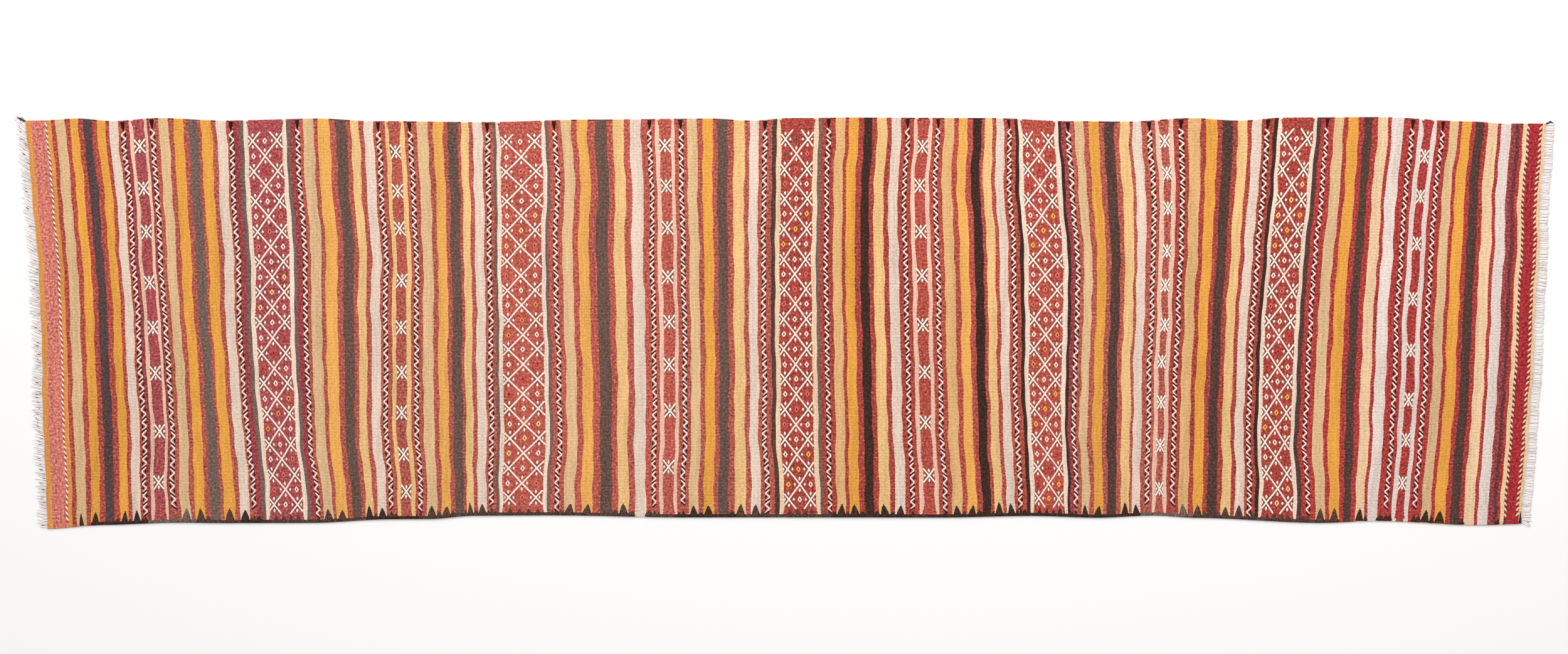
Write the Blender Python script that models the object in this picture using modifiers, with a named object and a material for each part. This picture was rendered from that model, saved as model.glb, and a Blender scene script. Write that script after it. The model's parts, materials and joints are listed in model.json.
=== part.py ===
"""A hand-woven wool runner: a striped flat weave with star and lattice brocading.

The runner lies flat. Its warps run along X, +Y is the straight far selvedge, -Y the dark toothed
one, and the underside is at Z = 0. Every weft band is a flat sleeve of weft packed round the warps.
Both ends fold back over the middle, each about a line across the rug just above its face.
"""
import math

import bmesh
import bpy
from mathutils import Vector

# Sizes of the weave, in metres
WOVEN_LENGTH = 2.98
WIDTH = 0.80
NEAR_DRAW_IN = 0.010       # how far the near edge is drawn in half way along
WEFT_SKIN = 0.0009         # packed weft over and under the warps
WARP_THICKNESS = 0.0006
GAP = 0.0003               # clearance between neighbouring solids
FLOAT_THICKNESS = 0.0008   # brocading yarn, standing on the face

# Selvedges, brocading and fringe
NEAR_SELVEDGE = 0.009
FAR_SELVEDGE = 0.005
STAR_GUARD = 0.0075        # plain stripe on each side of the stars
LATTICE_GUARD = 0.0085
BROCADE_MARGIN = 0.018     # plain weave left beyond the brocading at each selvedge
TWINING_WIDTH = 0.004
TWINING_INSET = 0.010      # from the left end band's inner edge
FRINGE_LENGTH = 0.021
FRINGE_HEADER = 0.004
FRINGE_THICKNESS = 0.002
TASSELS = 32
TASSEL_SHARE = 0.68        # of each tassel's pitch

# Each end folds back about a line this far outside the star band next to it
FOLD_FROM_STAR = 0.052
FOLD_CLEARANCE = 0.0009    # from the top of the brocading to the fold's axis

ROWS = 8                   # faces across the rug
THICKNESS = 2 * WEFT_SKIN + WARP_THICKNESS + 2 * GAP
FACE = THICKNESS + GAP     # underside of the brocading
HINGE_HEIGHT = FACE + FLOAT_THICKNESS + FOLD_CLEARANCE

# The weaver's draft from left to right: the band, its width, and how far its far and near ends
# stray along the rug. The end bands and the motif bands keep their width; the stripe fields
# between them share what is left of the length.
DRAFT = [
    ("end_band_left", 0.0500, -0.033, 0.006),
    ("stripe_field_1", 0.155, -0.029, 0.015),
    ("star_band_1", 0.0330, -0.025, 0.017),
    ("stripe_field_2", 0.183, -0.021, 0.019),
    ("lattice_band_1", 0.0860, -0.021, 0.016),
    ("stripe_field_3", 0.195, -0.021, 0.012),
    ("star_band_2", 0.0380, -0.020, 0.008),
    ("stripe_field_4", 0.174, -0.017, 0.004),
    ("lattice_band_2", 0.0955, -0.014, 0.004),
    ("stripe_field_5", 0.224, -0.010, 0.004),
    ("star_band_3", 0.0380, -0.006, 0.002),
    ("stripe_field_6", 0.194, -0.003, 0.000),
    ("lattice_band_3", 0.0825, 0.001, 0.004),
    ("stripe_field_7", 0.193, 0.002, 0.008),
    ("star_band_4", 0.0385, -0.002, 0.009),
    ("stripe_field_8", 0.184, -0.007, 0.009),
    ("lattice_band_4", 0.0855, -0.014, 0.004),
    ("stripe_field_9", 0.177, -0.016, -0.003),
    ("star_band_5", 0.0300, -0.004, -0.008),
    ("stripe_field_10", 0.179, 0.010, -0.012),
    ("lattice_band_5", 0.0750, 0.020, -0.011),
    ("stripe_field_11", 0.206, 0.028, -0.011),
    ("star_band_6", 0.0365, 0.028, -0.017),
    ("stripe_field_12", 0.191, 0.025, -0.024),
    ("end_band_right", 0.0370, 0.024, -0.027),
]
FOLDED_FIELDS = {"stripe_field_3": "star_band_2", "stripe_field_10": "star_band_5"}

# Wool colours, as the eye sees them on the loom, 0 to 1
WOOLS = {
    "faded_red": (0.80, 0.47, 0.43),
    "deep_red": (0.66, 0.20, 0.20),
    "brick_red": (0.72, 0.31, 0.27),
    "striped": (0.90, 0.68, 0.40),
    "cream": (0.93, 0.87, 0.78),
    "dark_brown": (0.30, 0.19, 0.16),
    "undyed": (0.92, 0.91, 0.90),
}


def linear(value):
    """One display colour value as linear light."""
    return value / 12.92 if value <= 0.04045 else ((value + 0.055) / 1.055) ** 2.4


def wool(name):
    """A plain wool material, made once for each dye."""
    material = bpy.data.materials.get(name)
    if material is None:
        material = bpy.data.materials.new(name)
        material.use_nodes = True
        shader = material.node_tree.nodes["Principled BSDF"]
        shader.inputs["Base Color"].default_value = (*map(linear, WOOLS[name]), 1.0)
        shader.inputs["Roughness"].default_value = 0.9
        shader.inputs["Metallic"].default_value = 0.0
    return material


def lay_out(draft):
    """Each band's left and right edge at mid width, with the far corners centred on X = 0."""
    elastic = sum(width for name, width, *_ in draft if name.startswith("stripe_field"))
    fixed = sum(width for name, width, *_ in draft) - elastic
    stretch = (WOVEN_LENGTH - fixed) / elastic
    edges = {}
    off_centre = (draft[0][2] + draft[-1][2]) / 2
    at = -WOVEN_LENGTH / 2 - off_centre
    for name, width, *_ in draft:
        span = width * stretch if name.startswith("stripe_field") else width
        edges[name] = (at, at + span)
        at += span
    return edges


EDGES = lay_out(DRAFT)


def stray(u, side):
    """How far the weft line at u strays at the far (1) or near (-1) selvedge."""
    column = 2 if side > 0 else 3
    knots = [(sum(EDGES[row[0]]) / 2, row[column]) for row in DRAFT]
    if u <= knots[0][0]:
        return knots[0][1]
    for (left, before), (right, after) in zip(knots, knots[1:]):
        if u <= right:
            share = (u - left) / (right - left)
            return before + (after - before) * share
    return knots[-1][1]


def near_edge(x):
    """The near selvedge's outer edge: drawn in along the middle of the rug."""
    share = min(1.0, abs(x) / (WOVEN_LENGTH / 2))
    return -WIDTH / 2 + NEAR_DRAW_IN * (1 - share * share)


def far_edge(x):
    return WIDTH / 2


def weft_line(u, shift=0.0):
    """A line across the rug: x as a function of y, for the weft that lies at u at mid width."""
    def line(y):
        side = 1 if y > 0 else -1
        reach = (abs(y) / (WIDTH / 2)) ** 1.2
        return u + shift + stray(u, side) * reach
    return line


def straight_line(x):
    return lambda y: x


def finish(name, mesh, colour):
    """Put a bmesh into the rug's collection as one named object with its wool."""
    data = bpy.data.meshes.new(name)
    mesh.to_mesh(data)
    mesh.free()
    data.materials.append(wool(colour))
    piece = bpy.data.objects.new(name, data)
    RUG.objects.link(piece)
    return piece


def thicken(piece, thickness):
    """Give an open surface its thickness, behind its faces."""
    solid = piece.modifiers.new("thickness", "SOLIDIFY")
    solid.thickness = thickness
    solid.offset = -1.0
    solid.use_even_offset = True
    return piece


def spot(left, right, near, far, along, across):
    """A point at two shares, between two cross lines and two long edges."""
    middle = (left(0.0) + right(0.0)) / 2
    y = near(middle) + (far(middle) - near(middle)) * across
    x = left(y) + (right(y) - left(y)) * along
    y = near(x) + (far(x) - near(x)) * across
    return x, y


def sleeve(name, left, right, colour):
    """A weft band: a flat tube of packed weft that the warps run through."""
    around = 2 * ROWS + 2
    mesh = bmesh.new()
    bmesh.ops.create_grid(mesh, x_segments=1, y_segments=around, size=0.5)
    near = lambda x: near_edge(x) + NEAR_SELVEDGE + GAP
    far = lambda x: far_edge(x) - FAR_SELVEDGE - GAP
    for vert in mesh.verts:
        along = vert.co.x + 0.5
        step = round((vert.co.y + 0.5) * around)
        below = step <= ROWS or step == around
        across = 1 - (step % around) / ROWS if below else (step - ROWS - 1) / ROWS
        x, y = spot(left, right, near, far, along, across)
        vert.co = Vector((x, y, 0.0 if below else THICKNESS))
    bmesh.ops.remove_doubles(mesh, verts=mesh.verts, dist=GAP / 10)
    return thicken(finish(name, mesh, colour), WEFT_SKIN)


def plate(name, left, right, near, far, top, thickness, colour, columns=1, rows=ROWS):
    """A flat plate between two cross lines and two long edges, its face at top."""
    mesh = bmesh.new()
    bmesh.ops.create_grid(mesh, x_segments=columns, y_segments=rows, size=0.5)
    for vert in mesh.verts:
        x, y = spot(left, right, near, far, vert.co.x + 0.5, vert.co.y + 0.5)
        vert.co = Vector((x, y, top))
    return thicken(finish(name, mesh, colour), thickness)


def warp_sheet(name, left, right):
    """The warps between two cross lines, as one thin sheet inside the weft bands."""
    inset = NEAR_SELVEDGE + GAP + WEFT_SKIN + GAP
    near = lambda x: near_edge(x) + inset
    far = lambda x: far_edge(x) - (FAR_SELVEDGE + GAP + WEFT_SKIN + GAP)
    top = WEFT_SKIN + GAP + WARP_THICKNESS
    plate(name, left, right, near, far, top, WARP_THICKNESS, "undyed", columns=6)


def brocade(name, left, right):
    """Extra weft laid on the face of a band, between its guard stripes."""
    near = lambda x: near_edge(x) + NEAR_SELVEDGE + BROCADE_MARGIN
    far = lambda x: far_edge(x) - FAR_SELVEDGE - BROCADE_MARGIN
    plate(name, left, right, near, far, FACE + FLOAT_THICKNESS, FLOAT_THICKNESS, "cream")


def twining(name, u):
    """A row of twined yarn across an end band."""
    near = lambda x: near_edge(x) + NEAR_SELVEDGE + GAP
    far = lambda x: far_edge(x) - FAR_SELVEDGE - GAP
    left = weft_line(u, -TWINING_WIDTH / 2)
    right = weft_line(u, TWINING_WIDTH / 2)
    plate(name, left, right, near, far, FACE + FLOAT_THICKNESS, FLOAT_THICKNESS, "cream")


def selvedges(suffix, left, right):
    """The two edge strips between two cross lines, where the wefts turn round the outer warps."""
    near_inner = lambda x: near_edge(x) + NEAR_SELVEDGE
    far_inner = lambda x: far_edge(x) - FAR_SELVEDGE
    plate("near_selvedge_" + suffix, left, right, near_edge, near_inner, THICKNESS, THICKNESS,
          "dark_brown", columns=10, rows=1)
    plate("far_selvedge_" + suffix, left, right, far_inner, far_edge, THICKNESS, THICKNESS,
          "brick_red", columns=4, rows=1)


def fringe(name, u, outward):
    """Cut warp ends beyond the last weft, as a header strip with tassels; outward is -1 or 1."""
    inner = weft_line(u, outward * GAP)
    pitch = WIDTH / TASSELS
    half = pitch * TASSEL_SHARE / 2
    outline = [(0.0, -WIDTH / 2)]
    for tassel in range(TASSELS):
        y = -WIDTH / 2 + (tassel + 0.5) * pitch
        outline += [(FRINGE_HEADER, y - half), (FRINGE_LENGTH, y - half)]
        outline += [(FRINGE_LENGTH, y + half), (FRINGE_HEADER, y + half)]
    outline += [(0.0, WIDTH / 2 - row * WIDTH / ROWS) for row in range(ROWS)]
    curve = bpy.data.curves.new(name, "CURVE")
    curve.dimensions = "2D"
    curve.fill_mode = "BOTH"
    curve.extrude = FRINGE_THICKNESS / 2
    spline = curve.splines.new("POLY")
    spline.points.add(len(outline) - 1)
    for point, (out, y) in zip(spline.points, outline):
        point.co = (inner(y) + outward * out, y, 0.0, 1.0)
    spline.use_cyclic_u = True
    curve.materials.append(wool("undyed"))
    piece = bpy.data.objects.new(name, curve)
    piece.location.z = FRINGE_THICKNESS / 2
    RUG.objects.link(piece)


def hang_flap(name, fold, outward):
    """Parent every piece beyond a fold to an empty on the fold's axis, where it is."""
    axis = bpy.data.objects.new(name, None)
    axis.location = (fold, 0.0, HINGE_HEIGHT)
    RUG.objects.link(axis)
    for piece in [one for one in RUG.objects if one.type != "EMPTY"]:
        middle = sum(corner[0] for corner in piece.bound_box) / 8
        if outward * (middle - fold) > 0:
            piece.parent = axis
            piece.location -= axis.location


def band_lines(name):
    """A band's two cross lines, each drawn in by half the clearance to its neighbour."""
    left, right = EDGES[name]
    return weft_line(left, GAP / 2), weft_line(right, -GAP / 2)


def fold_at(star):
    """Where the rug folds: outside the star band, on the side away from the middle."""
    left, right = EDGES[star]
    return left - FOLD_FROM_STAR if left < 0 else right + FOLD_FROM_STAR


def colour_of(name):
    if name.startswith("stripe_field"):
        return "striped"
    if name == "end_band_left":
        return "faded_red"
    return "deep_red" if name == "end_band_right" else "brick_red"


def weave_band(name):
    """One band of the draft, cut at the fold where the fold crosses it."""
    left, right = band_lines(name)
    if name not in FOLDED_FIELDS:
        sleeve(name, left, right, colour_of(name))
        return
    fold = fold_at(FOLDED_FIELDS[name])
    halves = [(left, straight_line(fold - GAP / 2)), (straight_line(fold + GAP / 2), right)]
    sides = ("outer", "inner") if fold < 0 else ("inner", "outer")
    for side, (start, end) in zip(sides, halves):
        sleeve(name + "_" + side, start, end, colour_of(name))


def brocade_band(name):
    """The stars or the lattice of one motif band."""
    guard = STAR_GUARD if name.startswith("star") else LATTICE_GUARD
    left, right = EDGES[name]
    brocade(name.replace("band", "brocade"), weft_line(left, guard), weft_line(right, -guard))


for old in list(bpy.data.objects):
    bpy.data.objects.remove(old, do_unlink=True)
RUG = bpy.data.collections.new("runner_rug")
bpy.context.scene.collection.children.link(RUG)

for band, *_ in DRAFT:
    weave_band(band)
    if band.startswith(("star", "lattice")):
        brocade_band(band)

END_LEFT = EDGES["end_band_left"][0]
END_RIGHT = EDGES["end_band_right"][1]
FOLD_LEFT = fold_at("star_band_2")
FOLD_RIGHT = fold_at("star_band_5")
SPANS = {
    "left_end": (weft_line(END_LEFT, GAP / 2), straight_line(FOLD_LEFT - GAP / 2)),
    "middle": (straight_line(FOLD_LEFT + GAP / 2), straight_line(FOLD_RIGHT - GAP / 2)),
    "right_end": (straight_line(FOLD_RIGHT + GAP / 2), weft_line(END_RIGHT, -GAP / 2)),
}
for suffix, (start, end) in SPANS.items():
    warp_sheet("warps_" + suffix, start, end)
    selvedges(suffix, start, end)

twining("twining_left", EDGES["end_band_left"][1] - TWINING_INSET)
twining("twining_right_inner", EDGES["end_band_right"][0] + TWINING_WIDTH / 2 + GAP)
twining("twining_right_outer", EDGES["end_band_right"][1] - TWINING_INSET)
fringe("fringe_left", END_LEFT, -1)
fringe("fringe_right", END_RIGHT, 1)

bpy.context.view_layer.update()
hang_flap("left_end_fold", FOLD_LEFT, -1)
hang_flap("right_end_fold", FOLD_RIGHT, 1)
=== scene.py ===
# %% [markdown]
# # A hand-woven wool runner
# This runner is a flat weave: thick wool wefts are packed over a sheet of warps until no warp
# shows. Every stripe is a run of weft in one dye, and the stars, lattices and zigzags are extra
# yarns floated over that ground. So the script works like the weaver. It sets up the cloth's own
# coordinates first, then lays in the stripes, then the brocading, then the edges and fringes.

# %% Load the frame
import json
import math
import random

import bmesh
import bpy
import numpy as np
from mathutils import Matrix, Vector


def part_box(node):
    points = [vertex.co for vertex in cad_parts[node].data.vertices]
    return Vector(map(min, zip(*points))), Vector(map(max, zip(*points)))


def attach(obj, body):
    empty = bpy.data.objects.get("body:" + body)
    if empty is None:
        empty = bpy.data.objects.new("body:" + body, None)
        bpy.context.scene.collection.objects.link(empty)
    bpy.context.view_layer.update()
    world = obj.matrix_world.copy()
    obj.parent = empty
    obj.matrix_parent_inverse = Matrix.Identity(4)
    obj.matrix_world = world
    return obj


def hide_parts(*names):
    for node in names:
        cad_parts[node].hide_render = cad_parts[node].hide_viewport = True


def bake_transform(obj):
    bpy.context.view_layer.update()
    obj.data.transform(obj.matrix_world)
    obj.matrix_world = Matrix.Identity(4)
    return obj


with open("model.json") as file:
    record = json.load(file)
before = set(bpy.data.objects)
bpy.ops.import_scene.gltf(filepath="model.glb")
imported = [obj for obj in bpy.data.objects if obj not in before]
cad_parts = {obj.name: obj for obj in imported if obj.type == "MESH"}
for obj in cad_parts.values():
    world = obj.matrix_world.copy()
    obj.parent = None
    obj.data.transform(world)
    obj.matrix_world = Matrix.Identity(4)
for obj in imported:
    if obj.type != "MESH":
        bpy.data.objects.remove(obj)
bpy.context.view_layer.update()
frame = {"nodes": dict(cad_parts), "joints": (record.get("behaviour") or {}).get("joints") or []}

# %% [markdown]
# ## The cloth's own coordinates
# A woven pattern is easy to describe on a straight cloth: so far along the warps, so far across.
# A real runner is not straight. Its wefts lean and its edges wander. The lean is already in the
# frame, so the next cells read the line between each pair of bands from the CAD pieces. From then
# on every piece is built on the straight cloth and laid down by one function.

# %% Read the weave from the frame
def node_points(node):
    """A CAD piece's corners, each of them once."""
    mesh = frame["nodes"][node].data
    flat = np.empty(len(mesh.vertices) * 3)
    mesh.vertices.foreach_get("co", flat)
    return np.unique(flat.reshape(-1, 3).round(6), axis=0)


def face_of(points):
    """The corners that lie on the piece's face."""
    return points[points[:, 2] > points[:, 2].max() - 1e-5]


def face_ends(node):
    """The left and right end of a band's face, row by row from the near selvedge to the far one."""
    face = face_of(node_points(node))
    pairs = face[np.argsort(face[:, 1])].reshape(-1, 2, 3)
    pick = np.arange(len(pairs))
    return pairs[pick, pairs[:, :, 0].argmin(1)], pairs[pick, pairs[:, :, 0].argmax(1)]


def band_of(node):
    """The band that a ground piece belongs to: two fields are cut in two at the folds."""
    return node.removesuffix("_outer").removesuffix("_inner")


GROUND_KINDS = ("end_band", "stripe_field", "star_band", "lattice_band")
GROUND = [name for name in frame["nodes"] if name.startswith(GROUND_KINDS)]
GROUND.sort(key=lambda name: sum(corner.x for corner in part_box(name)))
BANDS = list(dict.fromkeys(band_of(name) for name in GROUND))
lines = [[] for _ in range(len(BANDS) + 1)]
for number, band in enumerate(BANDS):
    if band in GROUND:  # a field that is cut at a fold takes its sides from its neighbours
        left_end, right_end = face_ends(band)
        lines[number].append(left_end)
        lines[number + 1].append(right_end)
# One line across the rug at each side of each band: row by row, x, y and z
LINES = np.array([np.mean(found, axis=0) for found in lines])
MID_ROW = LINES.shape[1] // 2
EDGES = LINES[:, MID_ROW, 0]
SPAN = {band: (EDGES[i], EDGES[i + 1]) for i, band in enumerate(BANDS)}
START, END = EDGES[0], EDGES[-1]
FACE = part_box("star_band_1")[1].z  # height of the ground's face
print(len(BANDS), "bands from", round(START, 4), "to", round(END, 4), "face at", round(FACE, 4))

# %% The two long edges
def edge_line(prefix, pick):
    """A selvedge's outer line, as y at each x along the rug."""
    strips = [node_points(name) for name in frame["nodes"] if name.startswith(prefix)]
    face = face_of(np.concatenate(strips))
    pairs = face[np.argsort(face[:, 0])].reshape(-1, 2, 3)
    return pairs[:, :, 0].mean(1), pick(pairs[:, :, 1], axis=1)


def through(knots, x):
    """A smooth line through a few knots, flat at each of them."""
    at, value = np.array(knots).T
    index = np.clip(np.searchsorted(at, x) - 1, 0, len(at) - 2)
    share = np.clip((x - at[index]) / (at[index + 1] - at[index]), 0, 1)
    share = share * share * (3 - 2 * share)
    return value[index] + (value[index + 1] - value[index]) * share


NEAR_LINE = edge_line("near_selvedge", np.min)
FAR_LINE = edge_line("far_selvedge", np.max)
MM = 0.001

# How far each edge wanders from its line, in millimetres, at places along the rug: measured,
# then thinned out and rounded
NEAR_WANDER = [(-1.47, -15), (-1.36, -9), (-1.22, -6), (-1.10, -8), (-0.94, -9), (-0.79, -3),
               (-0.71, -3), (-0.62, 3), (-0.48, 3), (-0.19, -2), (0.30, -2), (0.50, 2), (0.62, -1),
               (0.735, 4), (0.82, 0), (1.06, -8), (1.185, -3), (1.37, -9), (1.49, -5)]
FAR_WANDER = [(-1.49, -2), (-1.41, 2), (-1.34, -3), (-1.25, 3), (-1.12, -2), (-0.93, 2), (-0.82, -3),
              (-0.60, -5), (-0.40, 0), (-0.15, 2), (-0.065, -2), (0.01, 3), (0.135, 4), (0.41, 3),
              (0.56, -3), (0.68, -4), (0.81, 3), (0.90, -2), (1.0, 4), (1.18, 5), (1.37, -4), (1.43, -8)]
CLOTH = 0.80  # metres from selvedge to selvedge on the straight cloth


def near_y(x):
    return np.interp(x, *NEAR_LINE) + through(NEAR_WANDER, x) * MM


def far_y(x):
    return np.interp(x, *FAR_LINE) + through(FAR_WANDER, x) * MM


print("width at the ends:", far_y(START) - near_y(START), far_y(END) - near_y(END))

# %% How the wefts wander
# The frame's lines are smooth. By hand, each row was beaten a little further left or right. For
# seven rows, given as shares of the width from the near edge, these are the millimetres to the
# right at places along the rug: measured, then thinned out and rounded.
DRIFT = {
    0.07: [(-1.47, 9), (-1.34, 3), (-1.25, 1), (-1.19, 6), (-1.09, 15), (-0.97, 12), (-0.80, 4), (-0.60, -2),
           (-0.45, -2), (-0.36, 3), (-0.17, -4), (0.0, 6), (0.12, 0), (0.25, 4), (0.48, 6), (0.60, -4),
           (0.80, -4), (0.95, 3), (1.05, 4), (1.20, -7), (1.28, -9), (1.35, -4), (1.42, -1)],
    0.21: [(-1.47, 5), (-1.20, 8), (-1.06, 10), (-0.92, 1), (-0.85, -4), (-0.62, 0), (-0.42, 6), (-0.30, 1),
           (0.0, 0), (0.20, 1), (0.49, 1), (0.60, -9), (0.68, -3), (0.80, -5), (0.95, -3), (1.05, -7),
           (1.15, -2), (1.30, -3), (1.42, -1)],
    0.36: [(-1.47, 4), (-1.33, 3), (-1.20, 8), (-1.02, 2), (-0.70, -2), (-0.42, 4), (-0.15, 1), (0.40, 0),
           (0.59, -6), (0.70, -4), (1.10, -3), (1.30, 0)],
    0.51: [(-1.47, 3), (-1.10, 1), (-0.90, 0), (-0.40, 1), (0.10, -1), (0.50, 0), (1.40, -1)],
    0.67: [(-1.47, 4), (-1.27, -1), (-1.06, 4), (-0.92, 6), (-0.78, 6), (-0.65, 2), (-0.25, -1), (-0.05, 0),
           (0.20, -4), (0.45, 0), (0.66, 5), (0.93, 6), (1.14, 2), (1.30, 0)],
    0.83: [(-1.47, 4), (-1.38, 0), (-1.10, 1), (-0.65, 5), (-0.47, 10), (-0.30, 3), (-0.20, -2), (0.0, 1),
           (0.12, -1), (0.30, -7), (0.50, -4), (0.60, -3), (0.75, 9), (0.95, 12), (1.08, 9), (1.20, 1),
           (1.42, -4)],
    0.96: [(-1.47, 4), (-1.34, -4), (-1.20, 1), (-1.10, 5), (-0.92, 3), (-0.78, 5), (-0.51, 9), (-0.37, 4),
           (-0.24, -3), (-0.03, 4), (0.06, 2), (0.18, 4), (0.38, 0), (0.55, -6), (0.70, 0), (0.90, 15),
           (1.0, 16), (1.14, 4), (1.30, 5), (1.42, -3)],
}


def drift(x, across):
    """How far the wefts at each place lie to the right of the frame's lines."""
    rows = np.array(list(DRIFT))
    at_rows = np.array([through(knots, x) for knots in DRIFT.values()])
    index = np.clip(np.searchsorted(rows, across / CLOTH) - 1, 0, len(rows) - 2)
    share = np.clip((across / CLOTH - rows[index]) / (rows[index + 1] - rows[index]), 0, 1)
    share = share * share * (3 - 2 * share)
    pick = np.arange(len(x))
    return (at_rows[index, pick] * (1 - share) + at_rows[index + 1, pick] * share) * MM


print("rows with a drift of their own:", len(DRIFT))

# %% Lay the straight cloth on the floor
BEYOND = 0.06    # the weave's lean carries on this far past each end, under the fringes
WOBBLE = 0.0007  # how far a weft wavers by hand
RIPPLE = 0.0006  # how far the cloth stands off the floor, at most
ALONG = np.concatenate([[START - BEYOND], EDGES, [END + BEYOND]])
ACROSS = LINES[:, :, 1].mean(0)
CROSSING = np.concatenate([LINES[:1, :, 0] - BEYOND, LINES[:, :, 0], LINES[-1:, :, 0] + BEYOND])


def cross_x(u, y):
    """Where the weft that lies at u at mid width crosses the height y."""
    row = (y - ACROSS[0]) / (ACROSS[-1] - ACROSS[0]) * (len(ACROSS) - 1)
    low = np.clip(row.astype(int), 0, len(ACROSS) - 2)
    share = row - low
    at_row = np.array([np.interp(u, ALONG, CROSSING[:, j]) for j in range(len(ACROSS))])
    pick = np.arange(len(u))
    return at_row[low, pick] * (1 - share) + at_row[low + 1, pick] * share


def ripple(x, y):
    """The slight swell of a cloth that isn't pressed flat."""
    long_wave = np.sin(x / 0.067 + 1.3 * np.sin(y / 0.14))
    cross_wave = np.sin(y / 0.059 + x / 0.17)
    return RIPPLE * (0.5 + 0.27 * long_wave + 0.23 * cross_wave)


def lie(cloth):
    """Cloth coordinates (along, across from the near selvedge, height) laid down as x, y, z."""
    u, a, h = np.asarray(cloth, float).reshape(-1, 3).T
    waver = WOBBLE * (np.sin(a / 0.031 + 19 * u) + 0.8 * np.sin(a / 0.0113 + 47 * u))
    y = a - CLOTH / 2
    for _ in range(3):
        x = cross_x(u, y)
        x = x + drift(x, a) + waver
        near = near_y(x)
        y = near + (far_y(x) - near) * a / CLOTH
    return np.stack([x, y, h + ripple(x, y)], axis=1)


print("middle of the rug lies at", lie([(0.0, CLOTH / 2, FACE)])[0].round(4))

# %% [markdown]
# ## Dyes
# Old wool is never one flat colour. Each weft row took the dye a little differently, so fine
# streaks run along the weft. Batches differ, which weavers call abrash. Tips of fibre are rubbed
# pale on top of each rib. The grooves between ribs are painted darker as shade, deeper in some
# patches. These effects are the same for every dye, so they are one node group, and each dye is a small
# material that uses it.

# %% A few helpers for node trees
def linear(hex_colour):
    """A display colour such as b45748 as linear light."""
    values = [int(hex_colour[i:i + 2], 16) / 255 for i in (0, 2, 4)]
    light = [v / 12.92 if v <= 0.04045 else ((v + 0.055) / 1.055) ** 2.4 for v in values]
    return (*light, 1.0)


def add(tree, kind, inputs=None, **settings):
    """A node with its settings made, and its inputs set to values or joined to sockets."""
    made = tree.nodes.new(kind)
    for name, value in settings.items():
        setattr(made, name, value)
    for name, value in (inputs or {}).items():
        if isinstance(value, bpy.types.NodeSocket):
            tree.links.new(value, made.inputs[name])
        else:
            made.inputs[name].default_value = value
    return made


def maths(tree, operation, first, second=0.0, clamp=False):
    return add(tree, "ShaderNodeMath", {0: first, 1: second}, operation=operation,
               use_clamp=clamp).outputs[0]


def times(tree, first, second, clamp=False):
    return maths(tree, "MULTIPLY", first, second, clamp)


def plus(tree, first, second, clamp=False):
    return maths(tree, "ADD", first, second, clamp)


def minus(tree, first, second, clamp=False):
    return maths(tree, "SUBTRACT", first, second, clamp)


def noise(tree, vector, scale, detail=2.0):
    """Noise between 0 and 1, stretched by its vector."""
    return add(tree, "ShaderNodeTexNoise", {"Vector": vector, "Scale": scale, "Detail": detail},
               noise_dimensions="3D").outputs["Fac"]


def stretched(tree, vector, along, across):
    """The cloth's coordinates with each direction scaled by itself."""
    return add(tree, "ShaderNodeMapping", {"Vector": vector, "Scale": (along, across, 1.0)},
               vector_type="POINT").outputs["Vector"]


def mix_colour(tree, factor, first, second, blend="MIX"):
    made = add(tree, "ShaderNodeMix", data_type="RGBA", blend_type=blend)
    for socket, value in zip((made.inputs[0], made.inputs[6], made.inputs[7]), (factor, first, second)):
        if isinstance(value, bpy.types.NodeSocket):
            tree.links.new(value, socket)
        else:
            socket.default_value = value
    return made.outputs[2]


def new_group(name, inputs, outputs):
    """An empty node group with named sockets, and its two end nodes."""
    tree = bpy.data.node_groups.new(name, "ShaderNodeTree")
    for label, kind in inputs:
        tree.interface.new_socket(label, in_out="INPUT", socket_type=kind)
    for label, kind in outputs:
        tree.interface.new_socket(label, in_out="OUTPUT", socket_type=kind)
    return tree, tree.nodes.new("NodeGroupInput").outputs, tree.nodes.new("NodeGroupOutput").inputs


COLOUR, NUMBER = "NodeSocketColor", "NodeSocketFloat"
print("helpers ready")

# %% The weave, as a node group
RIBS = 258        # ribs from selvedge to selvedge, one over each warp
WEFT = 0.0011     # metres from one weft row to the next
RIB = CLOTH / RIBS


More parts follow.
